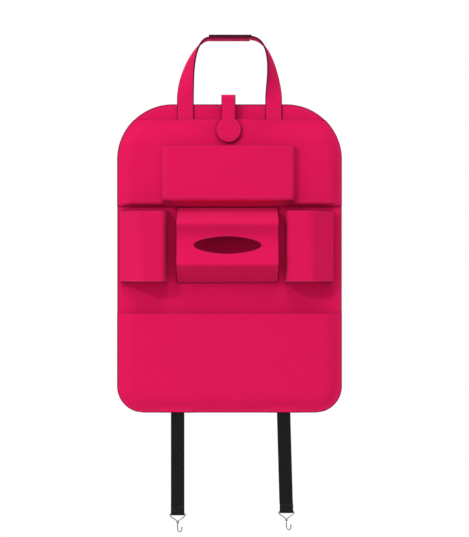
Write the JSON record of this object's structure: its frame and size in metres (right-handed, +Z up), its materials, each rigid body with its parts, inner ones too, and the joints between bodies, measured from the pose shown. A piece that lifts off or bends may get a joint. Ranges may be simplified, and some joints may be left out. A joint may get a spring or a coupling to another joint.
{
  "type": "seat back organiser",
  "caption": "Felt organiser for a car seat back: rounded panel with tablet, phone, bottle, tissue and magazine pockets, a closing tab, a carrying handle and elastic straps with wire hooks.",
  "frame": {"origin": "underside of the carrying handle's top, at its middle, in the plane of the back panel's back face", "axes": "+Z up along the panel, +X to the right of a person facing the pockets, +Y out of the back face, towards the seat; the pockets face -Y"},
  "size_m": [0.4008, 0.0668, 0.8822],
  "materials": {
    "felt": "matte",
    "tape": "matte",
    "elastic": "matte",
    "wire": "satin"
  },
  "bodies": {
    "panel": {"back_panel": "felt", "tablet_pocket_front": "felt", "phone_pocket_front": "felt", "magazine_pocket_front": "felt", "tissue_holder": "felt", "bottle_pocket_left": "felt", "bottle_pocket_right": "felt", "bottle_floor_left": "felt", "bottle_floor_right": "felt", "handle_foot_left": "felt", "handle_foot_right": "felt", "tab_anchor": "felt", "tab_loop_patch": "tape", "strap_anchor_left": "elastic", "strap_anchor_right": "elastic"},
    "handle": {"handle_strap_left": "felt", "handle_strap_right": "felt", "handle_loop_tape": "tape", "handle_hook_tape": "tape"},
    "tab": {"tab_flap": "felt", "tab_hook_patch": "tape"},
    "elastic_left": {"elastic_strap_left": "elastic"},
    "elastic_right": {"elastic_strap_right": "elastic"},
    "loop_end_left": {"strap_end_left": "elastic"},
    "loop_end_right": {"strap_end_right": "elastic"},
    "hook_left": {"wire_hook_left": "wire"},
    "hook_right": {"wire_hook_right": "wire"}
  },
  "joints": [
    {"name": "handle_fold", "type": "hinge", "parent": "panel", "child": "handle", "pos_m": [0, -0.0048, -0.1104], "axis": [1, 0, 0], "range_deg": [-100, 120]},
    {"name": "tab_open", "type": "hinge", "parent": "panel", "child": "tab", "pos_m": [-0.0018, -0.0207, -0.11235], "axis": [-1, 0, 0], "range_deg": [0, 135]},
    {"name": "strap_swing_left", "type": "hinge", "parent": "panel", "child": "elastic_left", "pos_m": [-0.0923, -0.00405, -0.6658], "axis": [-1, 0, 0], "range_deg": [-100, 100]},
    {"name": "strap_swing_right", "type": "hinge", "parent": "panel", "child": "elastic_right", "pos_m": [0.0963, -0.00405, -0.6658], "axis": [-1, 0, 0], "range_deg": [-100, 100]},
    {"name": "strap_stretch_left", "type": "slide", "parent": "elastic_left", "child": "loop_end_left", "axis": [0, 0, -1], "range_m": [0, 0.06], "stiffness_N_per_m": 200, "deforming": ["elastic_strap_left"]},
    {"name": "strap_stretch_right", "type": "slide", "parent": "elastic_right", "child": "loop_end_right", "axis": [0, 0, -1], "range_m": [0, 0.06], "stiffness_N_per_m": 200, "deforming": ["elastic_strap_right"]},
    {"name": "hook_swivel_left", "type": "hinge", "parent": "loop_end_left", "child": "hook_left", "pos_m": [-0.0923, -0.00405, -0.8435], "axis": [-1, 0, 0], "range_deg": [-110, 110]},
    {"name": "hook_swivel_right", "type": "hinge", "parent": "loop_end_right", "child": "hook_right", "pos_m": [0.1013, -0.00405, -0.8395], "axis": [-1, 0, 0], "range_deg": [-110, 110]}
  ]
}
